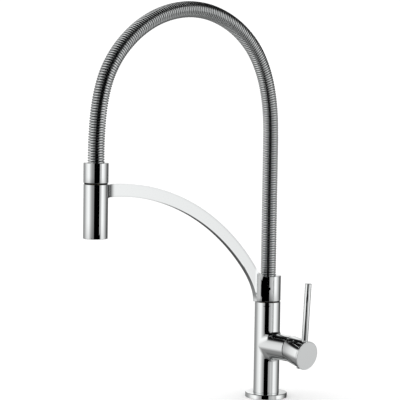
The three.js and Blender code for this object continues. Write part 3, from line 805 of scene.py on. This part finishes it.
def catmull_rom(p0, p1, p2, p3, steps):
    """Points from p1 up to p2 on a centripetal curve."""
    t1 = (p1 - p0).length ** 0.5
    t2 = t1 + (p2 - p1).length ** 0.5
    t3 = t2 + (p3 - p2).length ** 0.5
    for step in range(steps):
        t = t1 + (t2 - t1) * step / steps
        a1 = p0 * (t1 - t) / t1 + p1 * t / t1
        a2 = p1 * (t2 - t) / (t2 - t1) + p2 * (t - t1) / (t2 - t1)
        a3 = p2 * (t3 - t) / (t3 - t2) + p3 * (t - t2) / (t3 - t2)
        b1 = a1 * (t2 - t) / t2 + a2 * t / t2
        b2 = a2 * (t3 - t) / (t3 - t1) + a3 * (t - t1) / (t3 - t1)
        yield b1 * (t2 - t) / (t2 - t1) + b2 * (t - t1) / (t2 - t1)


def swept(name, points, radius, rings, material, stands_for):
    """A round tube along points, from the spout to the end of the hose."""
    path = bpy.data.curves.new(name, "CURVE")
    path.dimensions = "3D"
    path.bevel_depth = radius
    path.bevel_resolution = rings
    path.use_fill_caps = True
    spline = path.splines.new("POLY")
    spline.points.add(len(points) - 1)
    for place, target in zip(points, spline.points):
        target.co = (*place, 1)
    holder = bpy.data.objects.new(name, path)
    scene.collection.objects.link(holder)
    shapes = bpy.context.evaluated_depsgraph_get()
    mesh = bpy.data.meshes.new_from_object(holder.evaluated_get(shapes))
    bpy.data.objects.remove(holder)
    mesh.name = name
    mesh.materials.clear()
    mesh.materials.append(material)
    mesh.shade_smooth()
    piece = bpy.data.objects.new(name, mesh)
    scene.collection.objects.link(piece)
    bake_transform(piece)
    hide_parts(stands_for)


def hose():
    points, length = route_points(WIRE_PITCH / WIRE_STEPS_PER_TURN)
    winding_r = SHEATH_R - WIRE_R
    sideways = Vector((1, 0, 0))
    coil = []
    last = len(points) - 1
    for k, centre in enumerate(points):
        ahead = (points[min(k + 1, last)] - points[max(k - 1, 0)]).normalized()
        outwards = sideways.cross(ahead)
        angle = 2 * math.pi * k / WIRE_STEPS_PER_TURN
        coil.append(centre + winding_r * (math.cos(angle) * outwards
                                          + math.sin(angle) * sideways))
    swept("hose_coil", coil, WIRE_R, 2, PLATED_WIRE, "hose_sheath")
    middle, _ = route_points(3 * MM)
    swept("inner_hose_braid", middle, HOSE_R, 6, BRAID, "inner_hose")


# ---- handle ---------------------------------------------------------------------------------


def along_handle(shape):
    """Takes a shape turned about Z onto the axis of the drooping handle."""
    lay_down = Matrix.Rotation(math.pi / 2, 4, "Y")
    droop = Matrix.Rotation(REST_TILT, 4, "Y")
    return moved(shape, Matrix.Translation(PIVOT) @ droop @ lay_down)


def along_handle_at_rest(shape):
    """Takes a shape turned about Z onto the axis of the branch."""
    return moved(shape, Matrix.Translation(PIVOT) @ Matrix.Rotation(math.pi / 2, 4, "Y"))


KNOB_CAVITY_R = 13.2 * MM
KNOB_CAVITY_END = 31.5 * MM
KNOB_INNER_EDGE = 15.5 * MM
KNOB_BOSS_R = 6.5 * MM
STEM_HOLE_R = 3.6 * MM
CAP_HOLE_R = 16.9 * MM
CAP_RECESS = 1.3 * MM
CAP_H = 1.0 * MM
CAP_GAP = 0.03 * MM
WIPER_R = (15.75 * MM, 16.05 * MM)
WIPER_BACK = 10.1 * MM
KNOB_FACE = 37.6 * MM
KNOB_REAR_R = 16.35 * MM
KNOB_NECK_R = 17.3 * MM
KNOB_FRONT_R = 17.9 * MM
KNOB_DISC = 2.1 * MM
KNOB_GROOVE = 0.45 * MM
LEVER_R = 3.9 * MM
LEVER_AT = 32.1 * MM
LEVER_BOTTOM = 11.2 * MM
LEVER_TOP = 88.5 * MM
LEVER_SET_BACK = math.radians(4)


def knob():
    hollow = math.hypot(BRANCH_END - PIVOT.x, COLUMN_R) + 0.4 * MM
    rear = []
    for step in range(7):
        radius = KNOB_CAVITY_R + (KNOB_INNER_EDGE - KNOB_CAVITY_R) * step / 6
        rear.append((radius, math.sqrt(hollow ** 2 - radius ** 2)))
    rear.append((KNOB_REAR_R, rear[-1][1] - 0.1 * MM))
    lip = rear[0][1] + 0.1 * MM
    disc_back = KNOB_FACE - KNOB_DISC
    groove_r = KNOB_NECK_R - 0.4 * MM
    cap_floor = KNOB_FACE - CAP_RECESS
    shape = turned(rear + [
        (KNOB_NECK_R, disc_back - KNOB_GROOVE), (groove_r, disc_back - KNOB_GROOVE),
        (groove_r, disc_back), (KNOB_FRONT_R, disc_back),
        (KNOB_FRONT_R, KNOB_FACE), (CAP_HOLE_R, KNOB_FACE), (CAP_HOLE_R, cap_floor),
        (STEM_HOLE_R, cap_floor), (STEM_HOLE_R, hollow), (KNOB_BOSS_R, hollow),
        (KNOB_BOSS_R, KNOB_CAVITY_END), (KNOB_CAVITY_R, KNOB_CAVITY_END),
    ])
    soften(shape, 0.3 * MM, segments=3, angle=40,
           where=lambda edge: edge.verts[0].co.xy.length > KNOB_REAR_R - 0.1 * MM)
    # The rear lip is square to the branch while the handle rests, so the joint line is even.
    straighten = Matrix.Rotation(-REST_TILT, 4, "Y")
    for vertex in shape.verts:
        if vertex.co.z < lip and vertex.co.xy.length > KNOB_CAVITY_R - 0.1 * MM:
            vertex.co = straighten @ vertex.co
    add_piece("handle_knob_finish", along_handle(shape), CHROME, "handle",
              ["handle_knob"])

    # A black wiper ring closes the joint between the branch and the handle.
    inner, outer = WIPER_R
    front = rear[-1][1] + 0.2 * MM
    wiper = turned([(inner, WIPER_BACK), (outer, WIPER_BACK), (outer, front), (inner, front)])
    add_piece("handle_wiper", along_handle_at_rest(wiper), ACETAL, "handle")

    radius = CAP_HOLE_R - CAP_GAP
    back = KNOB_FACE - CAP_H
    face = turned([(0, back), (radius, back), (radius, KNOB_FACE), (0, KNOB_FACE)])
    add_piece("handle_cap_finish", along_handle(face), CHROME, "handle",
              ["handle_cap"])


def lever():
    shape = turned([(0, LEVER_BOTTOM), (LEVER_R, LEVER_BOTTOM), (LEVER_R, LEVER_TOP),
                    (0, LEVER_TOP)], steps=64)
    soften(shape, 0.6 * MM, segments=4)
    place = (Matrix.Translation(PIVOT) @ Matrix.Rotation(REST_TILT, 4, "Y")
             @ Matrix.Translation((LEVER_AT, 0, 0)) @ Matrix.Rotation(-LEVER_SET_BACK, 4, "Y"))
    add_piece("lever_pin_finish", moved(shape, place), CHROME, "handle",
              ["lever_pin"])


# ---- spray face -----------------------------------------------------------------------------

NOZZLE_RINGS = ((6.6 * MM, 12), (9.6 * MM, 18))      # radius and count
NOZZLE_TIP_R = 0.45 * MM
NOZZLE_ROOT_R = 0.85 * MM
NOZZLE_LENGTH = 1.2 * MM
NOZZLE_PROUD = 0.9 * MM
AERATOR_HOLE_R = 4.6 * MM
SCREEN_SPACING = 1.3 * MM
SCREEN_BAR = 0.35 * MM


def spray_face():
    """A recessed plate with rings of soft nozzles round an open aerator."""
    outer = width("nozzle_plate") / 2
    low = foot("nozzle_plate") + NOZZLE_PROUD
    high = top("nozzle_plate")
    hole = AERATOR_HOLE_R
    shape = turned([(hole, low), (outer, low), (outer, high), (hole, high)], steps=96)
    soften(shape, 0.3 * MM, segments=2)
    for ring_r, count in NOZZLE_RINGS:
        for k in range(count):
            nozzle = bmesh.ops.create_cone(shape, cap_ends=True, segments=10,
                                           radius1=NOZZLE_TIP_R, radius2=NOZZLE_ROOT_R,
                                           depth=NOZZLE_LENGTH)["verts"]
            angle = 2 * math.pi * k / count
            bmesh.ops.translate(shape, verts=nozzle, vec=(
                ring_r * math.cos(angle), ring_r * math.sin(angle), low - 0.3 * MM))
    add_piece("nozzle_plate_finish",
              moved(shape, Matrix.Translation((0, -HEAD_REACH, 0))), SILICONE, "spray_head",
              ["nozzle_plate"])

    # The aerator's mesh screen: crossed bars across the central hole.
    screen = bmesh.new()
    for turn in (0, math.pi / 2):
        for k in range(-3, 4):
            offset = k * SCREEN_SPACING
            half = math.sqrt(hole ** 2 - offset ** 2)
            rod = bmesh.ops.create_cube(screen, size=1)["verts"]
            bmesh.ops.transform(screen, verts=rod, matrix=(
                Matrix.Translation((0, -HEAD_REACH, low + 1.2 * MM))
                @ Matrix.Rotation(turn, 4, "Z") @ Matrix.Translation((offset, 0, 0))
                @ Matrix.Diagonal((SCREEN_BAR, 2 * half - 0.1 * MM, SCREEN_BAR, 1))))
    add_piece("aerator_screen", screen, STEEL, "spray_head")


# ---- pieces that stay as the frame has them -------------------------------------------------

SLOT_MATERIALS = {
    "chrome": CHROME,
    "brass": BRASS,
    "steel": STEEL,
    "rubber": RUBBER,
    "dark_plastic": ACETAL,
    "pale_plastic": PALE_ACETAL,
}


def paint_frame_nodes():
    for part in frame["record"]["subparts"]:
        node = frame["nodes"][part["node"]]
        node.data.materials.clear()
        node.data.materials.append(SLOT_MATERIALS[part["material_slot"]])


flange()
tee()
seam_rings()
hose_cup("spout_collar", COLLAR_WALL, COLLAR_ROOF, "spout", (0, 0, 0))
hose_cup("head_sleeve", SLEEVE_WALL, SLEEVE_ROOF, "hose_end", (0, -HEAD_REACH, 0))
spray_shell()
support_arm()
hose()
knob()
lever()
spray_face()
paint_frame_nodes()

scene.view_settings.view_transform = "Standard"
